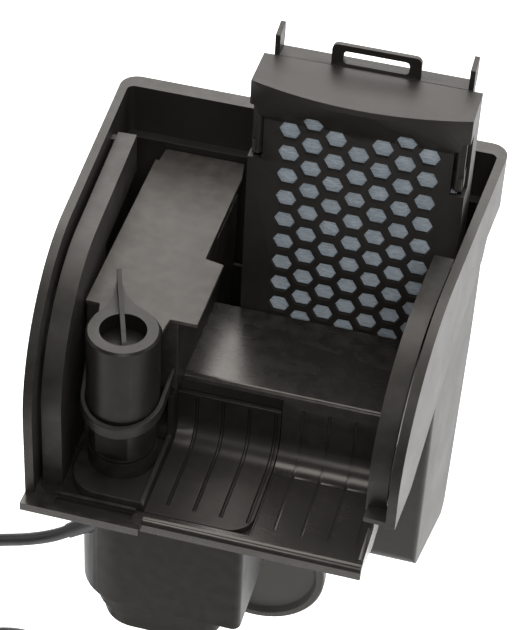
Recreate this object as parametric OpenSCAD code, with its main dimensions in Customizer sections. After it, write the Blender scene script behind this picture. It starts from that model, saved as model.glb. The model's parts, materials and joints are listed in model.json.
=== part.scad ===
// Hang-on-back aquarium power filter, lid off, filter cartridge drawn part-way up.
// Frame: X to the right along the tank glass, Y away from the tank, Z up.
// Origin: middle of the rim seat, where the case rests on top of the glass.

/* [Case] */
// Half width of the tub at its back
half_w_back = 98.5; // [96:0.5:118]
// Half width of the tub at its front
half_w_front = 88; // [86:0.5:106]
// Outer back of the tub
back_y = 106; // [104:1:126]
// Front of the side cheeks, on the tank side of the glass
front_y = -82; // [-98:1:-80]
// Height of the flat rim above the glass
rim_z = 92; // [86:1:110]
// Y where the flat rim starts to curve down to the front
rim_bend_y = -10; // [-20:1:0]
// Z where the curve of the rim ends in a straight edge
rim_end_z = 24; // [10:1:34]
// Width of the rim on top of the side walls
rim_w = 4.5; // [3:0.5:6]
// Width of the rim on top of the back wall
back_rim_w = 9; // [7:0.5:12]
// Height of the skirt that hangs from the back rim
skirt_h = 30; // [20:1:36]
// Thickness of the moulded walls
wall = 3; // [2:0.5:4]
// Radius of the upright outer corners
corner_r = 9; // [5:1:12]
// Depth of the reservoir box below the glass top at its front
box_depth = 108; // [90:1:130]
// Further drop of the box floor from front to back
floor_drop = 23; // [0:1:30]
// How far the box sides stand in from the tub sides
box_inset = 4; // [3:0.5:6]

/* [Lid rail] */
// Depth of the lid rail below the rim
rail_drop = 8; // [6:1:10]
// Gap between the rim and the left rail
rail_gap = 2; // [1.5:0.5:3]
// Width of the left rail
rail_w = 9.5; // [7:0.5:11]
// Back end of the left rail
rail_back_y = 68; // [40:1:80]

/* [Rim saddle] */
// Thickness of the tank glass the saddle is drawn on
glass_t = 10; // [6:1:12]
// Gap between the glass and the reservoir box
glass_gap = 1; // [0.5:0.5:2]
// Thickness of the rubber pads on the glass
pad_t = 3; // [2:0.5:4]

/* [Spillway] */
// Height of the weir shelf above the glass top
shelf_z = 17; // [14:1:22]
// Thickness of the weir shelf
shelf_t = 3; // [2:0.5:4]
// Front face of the riser below the shelf
riser_y = -22; // [-26:0.5:-22]
// Top of the spillway floor
spill_z = -20; // [-30:1:-16]
// Thickness of the spillway tray under its surface
tray_t = 4.5; // [4:0.5:6]
// Radius of the bend from riser to floor
bend_r = 12; // [8:1:16]
// Front edge of the spillway lip
lip_y = -84; // [-92:1:-83]
// Right end of the spillway
tray_right_x = 75; // [70:1:76]
// Spacing of the drip grooves
groove_pitch = 13; // [11:0.5:13]
// Width of a drip groove
groove_w = 1.4; // [1:0.1:2]

/* [Pump carrier] */
// Right edge of the ribbed carrier panel
carrier_right_x = 20; // [14:1:24]
// Thickness of the carrier panel
carrier_t = 2.5; // [2:0.5:3]
// Middle plane of the wall between pump and spillway
divider_x = -32; // [-32.5:0.5:-31]
// Left edge of the carrier base
carrier_left_x = -70; // [-72:1:-68]

/* [Riser tube and regulator] */
// X of the riser tube
tube_x = -50; // [-52:0.5:-49.8]
// Y of the riser tube
tube_y = -49.7; // [-52:0.1:-48]
// Outer radius of the riser tube
tube_r = 15.5; // [15:0.25:15.75]
// Radius of the water way
tube_bore_r = 11; // [9:0.5:12]
// Top of the flow regulator
regulator_z = 64.5; // [62:0.5:70]
// Outer radius of the flow regulator
regulator_r = 17.25; // [16.5:0.25:18]
// Reach of the regulator's pointer from the tube axis
pointer_reach = 34; // [28:1:36]
// Angle of the pointer from straight back, to the left
pointer_turn = 21; // [-10:1:30]

/* [Duct] */
// Top of the duct cover
cover_z = 61.5; // [58:0.5:64]
// Thickness of the duct cover
cover_t = 2; // [1.5:0.5:3]
// Left side of the duct
duct_left_x = -73.5; // [-74:0.5:-70]
// Right side of the duct behind the shelf
duct_right_x = -29; // [-31:1:-27]
// Right side of the duct's front part
duct_front_x = -20; // [-24:1:-19]

/* [Cartridge] */
// Left side of the cartridge
cart_x0 = -16.5; // [-18:0.5:-14]
// Right side of the cartridge
cart_x1 = 86.5; // [80:0.5:86.5]
// Front face of the cartridge
cart_y = 36; // [35:0.5:40]
// Depth of the front shell
cart_front_d = 24; // [18:1:26]
// Depth of the back shell
cart_back_d = 9; // [7:1:11]
// Height of the cartridge
cart_h = 174; // [150:1:178]
// Top of the cartridge as it is held up
cart_top_z = 152.5; // [140:0.5:158]
// Distance between neighbouring hexagons in a column
hex_pitch = 13.1; // [11.5:0.1:13.5]
// Width of a hexagon across its flats
hex_af = 9.5; // [8:0.1:10]
// Number of hexagons in a column
hex_rows = 12; // [6:1:12]
// Height of the finger loop
loop_h = 11; // [8:1:14]

/* [Pump] */
// Left side of the pump housing
pump_x0 = -69; // [-72:1:-68]
// Right side of the pump housing
pump_x1 = 17; // [16:1:30]
// Front of the pump housing
pump_y0 = -75; // [-78:1:-74]
// Back of the pump housing
pump_y1 = -14; // [-16:1:-13]
// Bottom of the pump housing
pump_z0 = -92; // [-110:1:-86]
// Radius of the pump shaft
shaft_r = 1.5; // [1:0.25:2.5]
// Radial clearance of the running fits
run_gap = 0.05; // [0.02:0.01:0.09]
// Radius of the rotor magnet
rotor_r = 8; // [7:0.5:9]
// Radius of the impeller
impeller_r = 13; // [10:0.5:15]
// Height of the intake strainer
strainer_h = 24; // [20:1:60]

/* [Levelling foot] */
// Radius of the levelling disc
foot_r = 37; // [30:1:40]
// Height of the levelling disc's centre below the front edge of the box floor
foot_drop = 27; // [25:1:32]
// X of the levelling disc
foot_x = 6; // [0:1:10]
// Radius of the stem of the levelling disc
stem_r = 5; // [4:0.5:6]

/* [Cord] */
// Diameter of the cord
cord_d = 6.3; // [5:0.1:7]
// Mean radius of the coil of spare cord
coil_r = 35; // [33:1:38]
// Width and height of the coil's bundle of turns
bundle = 19; // [17:0.5:21]

/* [Hidden] */
$fn = 48;
EPS = 0.01;

// --- tub ---
taper = atan((half_w_back - half_w_front) / (back_y - front_y));
side_len = (back_y - front_y) / cos(taper);
box_front_y = glass_t / 2 + glass_gap;
tub_floor_z = rim_z - skirt_h;
tub_inner_y = back_y - back_rim_w;
box_back_y = tub_inner_y - 2;
box_r = corner_r - 1;
cheek_foot_z = 8;
skirt_front_y = 70;
recess_depth = 11;
socket_r = stem_r + 4;
disc_y = box_front_y - 0.6;
disc_h = 8;
foot_z = -box_depth - foot_drop;
back_slope = 19 / (tub_floor_z + box_depth + floor_drop);

// --- spillway ---
tray_under_z = spill_z - tray_t;
recess_x0 = divider_x - 1.25;
recess_x1 = carrier_right_x + 0.4;
groove_top_left = 5;
groove_top_right = 11;
panel_top_z = 7;
groove_x0 = divider_x + 10.5;
groove_end_y = lip_y + 13;
wing_y = lip_y - 6;
wing_right_x = -30;

// --- cartridge ---
cart_w = cart_x1 - cart_x0;
cart_mid_x = (cart_x0 + cart_x1) / 2;
cart_bottom_z = cart_top_z - cart_h;
cart_back_y = cart_y + cart_front_d;
shell_t = 2;
grid_z = cart_top_z - 24.5;
hex_col = 10.95;
cap_bow = 8;
cap_h = 20;
back_inset = 5;
tongue_in = back_inset + shell_t - 0.1;
latch_z = cart_top_z - 43;
latch_h = 30;
latch_w = 7;
latch_pin_r = 1.1;
latch_y = cart_y + 4;

// --- duct ---
duct_t = 2.5;
seal_z = spill_z + 51.5;
spigot_r = 11;
spigot_bore_r = 8.8;
duct_mid_y = 12;
outlet_z = spill_z + 67;
duct_front_y = -31.8;
slot_gap = 0.5;

// --- pump ---
pump_z1 = tray_under_z - 2;
pump_r = 14;
pump_front_r = 26;
pump_side_r = 4;
cover_base_t = 3;
pump_in_z = pump_z0 + cover_base_t + 0.5;
pump_t = 2.5;
axis_x = -10;
axis_y = -44;
motor_z0 = pump_in_z + 16;
motor_z1 = pump_z1 - 3.5;
well_r = rotor_r + 1;
well_top_z = motor_z1 - 6;
shaft_z0 = pump_in_z - cover_base_t + 1;
shaft_z1 = well_top_z + 2;
strainer_z1 = pump_z0 - 0.1;
strainer_z0 = strainer_z1 - strainer_h;
screw_in = pump_t + 4;
back_screw = pump_r - (pump_r - screw_in) / sqrt(2);
screw_places = [[pump_x0 + pump_front_r, pump_y0 + screw_in], [pump_x1 - screw_in, pump_y0 + screw_in],
                [pump_x1 - screw_in, pump_y1 - screw_in], [pump_x0 + back_screw, pump_y1 - back_screw]];

// --- cord ---
gland_drop = 39;
gland_len = 26;
coil_x = -101;
coil_y = -60;
coil_z = -200;
// The cord from the strain relief to the coil, hanging under its own weight
cord_route = [[-72, -66, -58], [-79, -66, -63.2], [-87, -66, -67.8], [-97, -66, -72.2],
              [-108, -65.5, -76.5], [-117.5, -64.5, -81.5], [-126, -63, -88.5], [-133, -61.5, -97.5],
              [-138, -60.5, -109], [-141, -60, -122], [-142.2, -60, -136], [-142.3, -60, -150],
              [-142.3, -60, -163], [-142.3, -60, -176], [-142.3, -60, -188], [-142.3, -60, -200]];

// ---------- shared shapes ----------

function arc(cx, cy, r, a0, a1, n = 8) =
    [for (i = [0:n]) let (a = a0 + (a1 - a0) * i / n) [cx + r * cos(a), cy + r * sin(a)]];

// Rectangle with round corners, as points
function round_rect(x0, x1, y0, y1, r, n = 8) = concat(
    arc(x1 - r, y1 - r, r, 0, 90, n), arc(x0 + r, y1 - r, r, 90, 180, n),
    arc(x0 + r, y0 + r, r, 180, 270, n), arc(x1 - r, y0 + r, r, 270, 360, n));

function half_w(y) = half_w_front + (half_w_back - half_w_front) * (y - front_y) / (back_y - front_y);

// Side outline of the rim, moved inwards by d, from the front edge to the back
function rim_curve(d, back) = concat(
    [for (i = [0:24]) let (a = 90 * i / 24)
        [rim_bend_y - (rim_bend_y - front_y - d) * cos(a),
         rim_end_z + (rim_z - rim_end_z - d) * sin(a)]],
    [[back, rim_z - d]]);

// Extrudes a side outline (drawn in Y and Z) from x0 to x1
module across(x0, x1) {
    translate([x0, 0, 0]) rotate([90, 0, 90]) linear_extrude(x1 - x0) children();
}

// Places a piece drawn against the plane X = 0 on a tapered side wall; s is 1 right, -1 left
module on_side(s) {
    mirror([s < 0 ? 1 : 0, 0, 0])
        translate([half_w_front, front_y, 0]) rotate([0, 0, -taper])
            translate([0, -front_y, 0]) children();
}

// Tapered outline of the box or tub, d in from the tub's sides, with round corners
module plan(d, y0, y1, r, r_front = 0) {
    yb = y1 - r;
    yf = y0 + r_front;
    xb = half_w(yb) - d - r / cos(taper);
    xf = half_w(yf) - d - r_front / cos(taper);
    w0 = half_w(y0) - d;
    front = (r_front == 0) ? [[-w0, y0], [w0, y0]]
        : concat(arc(-xf, yf, r_front, 180 + taper, 270), arc(xf, yf, r_front, 270, 360 - taper));
    polygon(concat(arc(xb, yb, r, -taper, 90), arc(-xb, yb, r, 90, 180 + taper), front));
}

// ---------- case ----------

// Side outline of the box, d in from its outside, with a sloping floor and round corners
module box_side(d) {
    z0 = -box_depth + d;
    z1 = -box_depth - floor_drop + d;
    y0 = box_front_y + d;
    y1 = box_back_y - 19 - d;
    r = 10 - d;
    polygon(concat([[y0, tub_floor_z]], arc(y0 + r, z0 + r - 3, r, 180, 250),
                   arc(y1 - r, z1 + r, r, 290, 350), [[box_back_y - d, tub_floor_z]]));
}

// Round recess for the levelling disc, grown by d
module recess_cut(d) {
    translate([foot_x, box_front_y - 1, foot_z]) rotate([-90, 0, 0])
        cylinder(r = foot_r + 4 + d, h = recess_depth + d + 1);
}

module reservoir_box() {
    color("#3b3936") difference() {
        intersection() {
            across(-half_w_back, half_w_back) box_side(0);
            translate([0, 0, -200]) linear_extrude(200 + tub_floor_z)
                plan(box_inset, box_front_y, box_back_y, box_r, 3);
        }
        difference() {
            intersection() {
                across(-half_w_back, half_w_back) translate([0, EPS]) box_side(wall);
                translate([0, 0, -200]) linear_extrude(201 + tub_floor_z)
                    plan(box_inset + wall, box_front_y + wall, box_back_y - wall, box_r - wall, 1);
            }
            recess_cut(wall);
        }
        recess_cut(0);
        // room for the shelf and the duct floor, which close the front wall
        translate([-half_w_back, box_front_y - 1, shelf_z - shelf_t])
            cube([2 * half_w_back, wall + 1 + EPS, 100]);
    }
}

// What is cut away outside the outline of one cheek and side wall
module cheek_cut(foot_z) {
    difference() {
        translate([front_y - 10, spill_z - 30]) square([back_y - front_y + 20, rim_z - spill_z + 60]);
        polygon(concat([[front_y, foot_z]], rim_curve(0, back_y + 5),
                       [[back_y + 5, tub_floor_z], [skirt_front_y, tub_floor_z],
                        [skirt_front_y - 6, tub_floor_z - 9], [box_front_y + 4, 37], [front_y + 28, foot_z]]));
    }
}

// Side and back walls, broad at the back; thin where they lap the box
module tub_walls() {
    difference() {
        translate([0, 0, spill_z - 10]) linear_extrude(rim_z - spill_z + 20) difference() {
            plan(0, front_y, back_y, corner_r);
            plan(rim_w, front_y - 5, tub_inner_y, 3.5);
        }
        across(-half_w_back - 10, 0) cheek_cut(spill_z);
        across(-EPS, half_w_back + 10) cheek_cut(cheek_foot_z);
        translate([0, 0, spill_z - 20]) linear_extrude(tub_floor_z - spill_z + 20)
            plan(box_inset - 0.1, box_front_y - 0.3, back_y + 30, box_r);
        // hollow under the back rim, open below
        translate([-half_w_back + 9, tub_inner_y + 2, tub_floor_z - 1])
            cube([2 * half_w_back - 18, back_rim_w - 2 - 2.5, skirt_h + 1 - wall]);
    }
}

// Lid rail: a ledge that follows the rim and a web under it
module lid_rail(width, back, web, foot_z) {
    x1 = -rim_w - rail_gap;
    across(x1 - width, x1) polygon(concat(
        [[front_y + rail_drop, foot_z]], rim_curve(rail_drop, back), [[back, rim_z - rail_drop - wall]],
        [for (i = [24:-1:0]) rim_curve(rail_drop + wall, back)[i]], [[front_y + rail_drop + wall, foot_z]]));
    across(x1 - width, x1 - width + wall - 0.5) polygon(concat(
        [[front_y + rail_drop, foot_z]], rim_curve(rail_drop, back), web));
    // short bridges hold the rail to the wall
    for (y = [front_y + rail_drop + 8, back - 6])
        translate([x1 - 1, y, (y < 0) ? foot_z + 2 : rim_z - rail_drop - wall + 0.2])
            cube([rail_gap + 2, 4, wall - 0.5]);
}

module upper_tub() {
    web_z = shelf_z - shelf_t;
    left_web = [[rail_back_y, tub_floor_z + 0.5], [box_front_y + 1.8, tub_floor_z + 0.5],
                [box_front_y + 1.8, web_z], [riser_y - bend_r, web_z],
                [riser_y - bend_r, spill_z + 0.1]];
    color("#403e3b") {
        tub_walls();
        on_side(-1) lid_rail(rail_w, rail_back_y, left_web, spill_z + 0.1);
        on_side(1) lid_rail(rail_w, 22, [[22, tub_floor_z + 0.5], [box_front_y + 1.8, tub_floor_z + 0.5],
            [box_front_y + 1.8, web_z], [riser_y + 1, web_z], [riser_y + 1, cheek_foot_z]], cheek_foot_z);
        // foot that closes the end of the right cheek
        on_side(1) across(-rim_w - rail_gap - rail_w + 1, -1) polygon([[front_y + 0.5, cheek_foot_z + 0.2],
            [front_y + 11, cheek_foot_z + 0.2], [front_y + 11, cheek_foot_z + 3], [front_y + 0.5, cheek_foot_z + 3]]);
        // ledge between the tub and the reservoir box
        translate([0, 0, tub_floor_z]) linear_extrude(wall) difference() {
            plan(rim_w - 0.5, box_front_y + 0.5, tub_inner_y + 0.5, 4);
            plan(box_inset + wall, box_front_y - 1, box_back_y - wall, box_r - wall);
        }
    }
}

// ---------- spillway ----------

// Surface of riser, bend and floor, d below the visible surface
function spill_curve(d, z_top, y_end) = concat(
    [[riser_y + d, z_top]],
    arc(riser_y - bend_r, spill_z + bend_r, bend_r + d, 0, -90, 10),
    [[y_end, spill_z - d]]);

function reverse(v) = [for (i = [len(v) - 1:-1:0]) v[i]];

module spill_band(d0, d1, z_top, y_end) {
    polygon(concat(spill_curve(d0, z_top, y_end), reverse(spill_curve(d1, z_top, y_end))));
}

module tray_side() {
    polygon(concat([[cart_y - 1, shelf_z]],
        arc(riser_y + 4.5, shelf_z - 2.5, 2.5, 90, 150, 4),
        spill_curve(0, shelf_z - 7, lip_y + 3),
        arc(lip_y + 3, spill_z - 3, 3, 90, 180, 5),
        [[lip_y, tray_under_z - 3], [lip_y + 2.5, tray_under_z - 3], [lip_y + 4, tray_under_z]],
        reverse(spill_curve(tray_t, shelf_z - shelf_t, lip_y + 8)),
        [[cart_y - 1, shelf_z - shelf_t]]));
}

module grooves() {
    for (i = [0:7]) {
        left = groove_x0 + i * groove_pitch < carrier_right_x;
        translate([groove_x0 + i * groove_pitch, 0, 0]) across(-groove_w / 2, groove_w / 2)
            spill_band(-0.5, 1.1, left ? groove_top_left : groove_top_right, groove_end_y);
    }
}

module spillway_tray() {
    tray_left_x = -half_w_front + rim_w + rail_gap + rail_w - 2.5;
    color("#45423e") {
        difference() {
            union() {
                across(tray_left_x, tray_right_x) tray_side();
                // wing of the lip under the pump carrier
                translate([0, 0, tray_under_z]) linear_extrude(tray_t)
                    polygon([[-half_w_front, wing_y], [wing_right_x, wing_y], [wing_right_x, lip_y + 6],
                             [-half_w_front + rim_w, lip_y + 14], [-half_w_front, lip_y + 14]]);
                // floor and riser out to the left wall
                translate([-half_w_front + 0.5, lip_y + 8, tray_under_z]) cube([16, riser_y - bend_r - lip_y - 8, tray_t]);
                across(-half_w_front + 1.5, tray_left_x + 1) intersection() {
                    tray_side();
                    translate([riser_y - bend_r - EPS, tray_under_z - 1]) square([bend_r + 8, 38.3]);
                }
                // shelf out to the right wall, behind the cheek
                translate([tray_right_x - 1, box_front_y + wall, shelf_z - shelf_t])
                    cube([8, cart_y - 1 - box_front_y - wall, shelf_t]);
                // raised handle bar on the wing
                translate([-74, lip_y + 3.5, spill_z]) cube([40, 1.6, 2.2]);
            }
            grooves();
            // pocket for the carrier panel
            across(recess_x0, recess_x1) spill_band(-1, carrier_t + 0.2, shelf_z - 3, lip_y + 5.5);
            // shallow step in the floor right of the carrier
            translate([recess_x1 + 0.6, lip_y + 5, spill_z - 0.7])
                cube([tray_right_x - recess_x1 - 1.6, riser_y - bend_r - 2 - lip_y - 5, 2]);
            // slot in front of the handle bar
            translate([-73, lip_y - 1, spill_z - 2]) cube([38, 4.4, 3]);
            // hole for the riser tube
            translate([tube_x, tube_y, tray_under_z - 1]) cylinder(r = spigot_r + 0.2, h = tray_t + 2);
        }
        // side web under the right end of the lip
        across(tray_right_x - 2.5, tray_right_x)
            polygon([[riser_y + 1, cheek_foot_z - 0.3], [riser_y + 1, tray_under_z - 8],
                     [-56, tray_under_z - 10], [lip_y + 3, spill_z - 2.5], [lip_y + 5, spill_z + 0.8],
                     [-58, spill_z + 0.8], [-40, cheek_foot_z - 0.3]]);
        // ribs that stand on the rubber pads
        for (x = [-60, 0, 60])
            translate([x - 7, -glass_t / 2, pad_t]) cube([14, glass_t, shelf_z - shelf_t - pad_t + EPS]);
    }
}

module rim_pads() {
    color("#2a2a2a") for (x = [-60, 0, 60])
        translate([x - 9, -glass_t / 2, 0]) cube([18, glass_t, pad_t]);
}

// ---------- media chamber and duct ----------

module partition_wall() {
    y0 = box_front_y + wall + 0.2;
    z0 = -box_depth + wall + 1;
    color("#33312f") {
        across(duct_right_x - duct_t, duct_right_x) polygon([[y0 + 13, z0], [y0 + 13, foot_z + foot_r + 10],
            [y0, foot_z + foot_r + 10], [y0, shelf_z - shelf_t - 0.2], [cart_y, shelf_z - shelf_t - 0.2],
            [cart_y, cover_z - cover_t - 3], [cart_back_y + cart_back_d + 4, cover_z - cover_t - 3],
            [cart_back_y + cart_back_d - 5, z0 - 8], [y0 + 32, z0 - 2]]);
        // guides either side of the cartridge
        for (y = [cart_y - slot_gap - 2, cart_back_y + cart_back_d + slot_gap])
            translate([duct_right_x - EPS, y, -95]) cube([cart_x0 - duct_right_x + 3, 2, 95 + shelf_z - shelf_t - 0.5]);
    }
}

// Plan of the duct, d in from its outside
module duct_plan(d, y_back) {
    polygon([[duct_left_x + d, duct_front_y + d], [duct_right_x - d, duct_front_y + d],
             [duct_right_x - d, y_back], [duct_left_x + d, y_back]]);
}

module duct_channel() {
    z0 = shelf_z + 0.1;
    color("#2f2d2b") difference() {
        union() {
            translate([0, 0, z0]) linear_extrude(cover_z - cover_t - 0.1 - z0) difference() {
                duct_plan(0, box_front_y + wall + 26);
                duct_plan(duct_t, box_front_y + wall + 40);
            }
            translate([0, 0, z0]) linear_extrude(2) duct_plan(0, box_front_y + wall);
        }
        // way in from the riser tube
        translate([tube_x, duct_front_y - 5, outlet_z]) rotate([-90, 0, 0]) cylinder(r = 7.5, h = 12);
    }
}

module duct_cover() {
    back = box_back_y - wall - 0.4 - (tub_floor_z - cover_z + cover_t) * back_slope;
    color("#6c6a67") translate([0, 0, cover_z - cover_t]) linear_extrude(cover_t) difference() {
        polygon([[-74.5, back - 10], [-72.5, back - 10], [-72, back - 1], [-71, back], [duct_right_x - 2, back],
                 [duct_right_x, back - 12], [duct_right_x, duct_mid_y + 2], [duct_front_x + 0.5, duct_mid_y],
                 [duct_front_x + 0.5, duct_front_y - 1.5], [-32.5, duct_front_y - 1.5],
                 [-34, duct_front_y - 14], [-64, duct_front_y - 14], [-67, duct_front_y - 0.5], [-74, duct_front_y]]);
        translate([tube_x, tube_y]) circle(r = regulator_r + 0.6);
    }
}

// ---------- levelling foot ----------

// Height of the box floor's underside at y
function floor_at(y) = -box_depth - 2.4 - 0.3521 * (y - 12.58);

module foot_socket() {
    y0 = box_front_y + recess_depth + 0.3;
    y1 = y0 + 4.2;
    color("#3b3936") difference() {
        union() {
            translate([foot_x, y0, foot_z]) rotate([-90, 0, 0]) cylinder(r = socket_r, h = y1 - y0);
            translate([foot_x, 0, 0]) across(-7, 7)
                polygon([[y0, foot_z], [y0, floor_at(y0)], [y1, floor_at(y1)], [y1, foot_z]]);
        }
        translate([foot_x, y0 - 1, foot_z]) rotate([-90, 0, 0]) cylinder(r = stem_r + run_gap, h = 7);
    }
}

module levelling_disc() {
    color("#6a6a68") translate([foot_x, disc_y, foot_z]) rotate([-90, 0, 0]) rotate_extrude($fn = 96)
        polygon([[0, 3], [0, disc_h], [stem_r + 3, disc_h], [stem_r + 4, 5.5], [foot_r - 9, 5.5], [foot_r - 7, 9],
                 [foot_r - 2, 9], [foot_r, 6], [foot_r, 0.8], [foot_r - 0.8, 0], [foot_r - 4, 0],
                 [foot_r - 6, 3]]);
}

module levelling_stem() {
    color("#4a4a48") translate([foot_x, disc_y + disc_h, foot_z]) rotate([-90, 0, 0]) {
        cylinder(r = stem_r, h = 15);
        translate([0, 0, 15 - EPS]) cylinder(r = stem_r + 2, h = 2);
    }
}

// ---------- pump carrier, riser tube and regulator ----------

module carrier_insert() {
    base_z = spill_z + 5;
    front = lip_y + 6;
    color("#4a4744") {
        // base under the riser tube
        difference() {
            translate([0, 0, spill_z + 0.1]) linear_extrude(base_z - spill_z - 0.1) polygon(concat(
                [[divider_x, riser_y - bend_r - 0.2]], [[carrier_left_x, riser_y - bend_r - 0.2]],
                arc(carrier_left_x + 16, front + 16, 16, 180, 270), [[divider_x, front]]));
            translate([tube_x, tube_y, spill_z - 1]) cylinder(r = spigot_r + 0.2, h = 8);
        }
        // divider
        across(divider_x - 1.25, divider_x + 1.25) polygon(concat([[front, spill_z + 3.5],
            [front + 2, spill_z + 6], [duct_front_y - 2, spill_z + 7.5], [duct_front_y - 0.3, spill_z + 12],
            [duct_front_y - 0.3, shelf_z - 4.5], [riser_y - 0.5, shelf_z - 4.5]],
            spill_curve(carrier_t - 1.3, shelf_z - 5, front)));
        // ribbed panel in the spillway's pocket
        intersection() {
            difference() {
                across(divider_x, carrier_right_x) spill_band(0, carrier_t, panel_top_z, front);
                grooves();
            }
            translate([0, 0, -60]) linear_extrude(100) polygon(concat(
                [[divider_x, 0]], [[divider_x, front]],
                arc(carrier_right_x - 12, front + 12, 12, 270, 360), [[carrier_right_x, 0]]));
        }
    }
}

module tube_at(z) {
    translate([tube_x, tube_y, z]) children();
}

module riser_tube() {
    z0 = spill_z + 5;
    neck_r = tube_bore_r + 2.5;
    color("#3a3734") difference() {
        union() {
            tube_at(z0) cylinder(r = tube_r + 1, h = 10);
            tube_at(z0 + 10) cylinder(r = tube_r + 0.4, h = 27);
            tube_at(z0 + 37) cylinder(r = neck_r, h = 18);
        }
        tube_at(z0 - 1) cylinder(r = tube_bore_r, h = 60);
        // flat window on the front of the tube
        tube_at(z0 + 11.2) rotate([0, 0, -96]) translate([tube_r - 1.8, -8, 0]) cube([6, 16, 21]);
        // groove for the seal
        tube_at(seal_z - 1) difference() {
            cylinder(r = neck_r + 1, h = 2);
            translate([0, 0, -1]) cylinder(r = neck_r - 1.15, h = 5);
        }
        // parting line above the foot ring
        tube_at(z0 + 9.4) difference() {
            cylinder(r = tube_r + 4, h = 0.8);
            translate([0, 0, -1]) cylinder(r = tube_r - 0.4, h = 3);
        }
    }
}

module riser_guard() {
    z0 = spill_z + 5 + 34.5;
    back = duct_front_y - tube_y - 0.02;
    color("#3f3c39") difference() {
        intersection() {
            union() {
                tube_at(z0 - 6) cylinder(r = tube_r + 4.5, h = 40);
                // arms that run back to the duct on both sides
                tube_at(z0 - 6) linear_extrude(40)
                    polygon([[-tube_r - 4.4, -2], [-tube_r - 8, back], [tube_r + 4.5, back], [tube_r + 4.4, -2]]);
            }
            // a slice that climbs towards the back
            tube_at(z0) rotate([16, 0, 0]) translate([-50, -50, 0]) cube([100, 100, 6]);
            translate([tube_x - 40, tube_y - 40, z0 - 20]) cube([80, 40 + back, 80]);
        }
        tube_at(z0 - 10) cylinder(r = regulator_r + 0.35, h = 60);
        // the arms are open between them at the back
        tube_at(z0 - 10) linear_extrude(60)
            polygon([[-regulator_r - 0.35, 0], [-regulator_r - 3, back + 1], [regulator_r + 1, back + 1], [regulator_r + 0.35, 0]]);
    }
}

module riser_seal() {
    color("#1c1c1c") tube_at(seal_z) rotate_extrude() translate([tube_bore_r + 2.15, 0]) circle(r = 0.75, $fn = 24);
}

module flow_regulator() {
    z0 = spill_z + 5 + 37.4;
    body_h = regulator_z - z0;
    neck = tube_bore_r + 2.5 + run_gap;
    floor_z = regulator_z - 9;
    color("#6f6d6a") tube_at(0) rotate([0, 0, pointer_turn]) {
        difference() {
            union() {
                translate([0, 0, z0]) cylinder(r = regulator_r, h = body_h - 1.2);
                translate([0, 0, z0 + body_h - 1.2]) cylinder(r1 = regulator_r, r2 = regulator_r - 1, h = 1.2);
                // pointer that lies over the duct cover
                translate([0, 0, cover_z + 0.6]) linear_extrude(regulator_z - cover_z - 0.6) polygon(concat(
                    [[-regulator_r * 0.93, 4]], [[-12.5, 11]], [[-6.5, 17.5]], [[-3.2, 24]],
                    arc(0, pointer_reach - 1.8, 1.8, 160, 20, 6), [[3.2, 24]], [[6.5, 17.5]], [[12.5, 11]],
                    [[regulator_r * 0.93, 4]]));
            }
            translate([0, 0, z0 - 1]) cylinder(r = neck, h = 20);
            translate([0, 0, z0]) cylinder(r = tube_bore_r, h = floor_z - 2 - z0);
            translate([0, 0, floor_z]) cylinder(r = tube_bore_r, h = 30);
            // outlet into the duct
            translate([0, 0, outlet_z]) rotate([-90, 0, -pointer_turn]) cylinder(r = 5.8, h = 30);
            // seal ring's running track
            translate([0, 0, seal_z - 1.2]) cylinder(r = neck + 0.45, h = 2.4);
        }
        // grip fin across the hole and along the pointer
        across(-1.1, 1.1) polygon([[-tube_bore_r - 0.4, floor_z - 0.5], [-tube_bore_r - 0.4, regulator_z - 6],
            [-7, regulator_z - 1.5], [2, regulator_z + 1.5], [14, regulator_z + 3.5], [26, regulator_z + 7],
            [pointer_reach - 1.5, regulator_z + 9], [pointer_reach - 0.6, regulator_z + 8],
            [pointer_reach - 2, regulator_z - 1], [tube_bore_r + 0.4, regulator_z - 1],
            [tube_bore_r + 0.4, floor_z - 0.5]]);
    }
}

module pump_plan(d) {
    polygon(concat(
        arc(pump_x1 - pump_side_r, pump_y1 - pump_side_r, pump_side_r - d, 0, 90),
        arc(pump_x0 + pump_r, pump_y1 - pump_r, pump_r - d, 90, 180),
        arc(pump_x0 + pump_front_r, pump_y0 + pump_front_r, pump_front_r - d, 180, 270, 12),
        arc(pump_x1 - pump_side_r, pump_y0 + pump_side_r, pump_side_r - d, 270, 360)));
}

module pump_housing() {
    color("#2e2b29") difference() {
        union() {
            difference() {
                translate([0, 0, pump_z0]) linear_extrude(pump_z1 - pump_z0) pump_plan(0);
                translate([0, 0, pump_z0 - 1]) linear_extrude(pump_z1 - pump_z0 + 1 - pump_t) pump_plan(pump_t);
            }
            // bosses for the cover's screws
            for (p = screw_places) translate([p[0], p[1], pump_in_z]) cylinder(r = 4.6, h = 12);
        }
        for (p = screw_places) translate([p[0], p[1], pump_in_z - 1]) cylinder(r = 1.6, h = 11);
        tube_at(pump_z1 - 10) cylinder(r = spigot_r + 0.02, h = 20);
        gland_at(-12) cylinder(r = 4.6, h = 40);
    }
}

// Axis of the strain relief, d along it from where the cord's free stretch begins
module gland_at(d) {
    translate(cord_route[0]) rotate([0, -90 - gland_drop, 0]) translate([0, 0, d - gland_len]) children();
}

module outlet_spigot() {
    color("#2e2b29") tube_at(pump_in_z + 2) difference() {
        cylinder(r = spigot_r, h = spill_z + 5 - pump_in_z - 2.1);
        translate([0, 0, 4]) cylinder(r = spigot_bore_r, h = 100);
        // side inlet from the volute
        translate([0, 0, 9]) rotate([0, 90, 0]) cylinder(r = 4.5, h = 30);
    }
}

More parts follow.
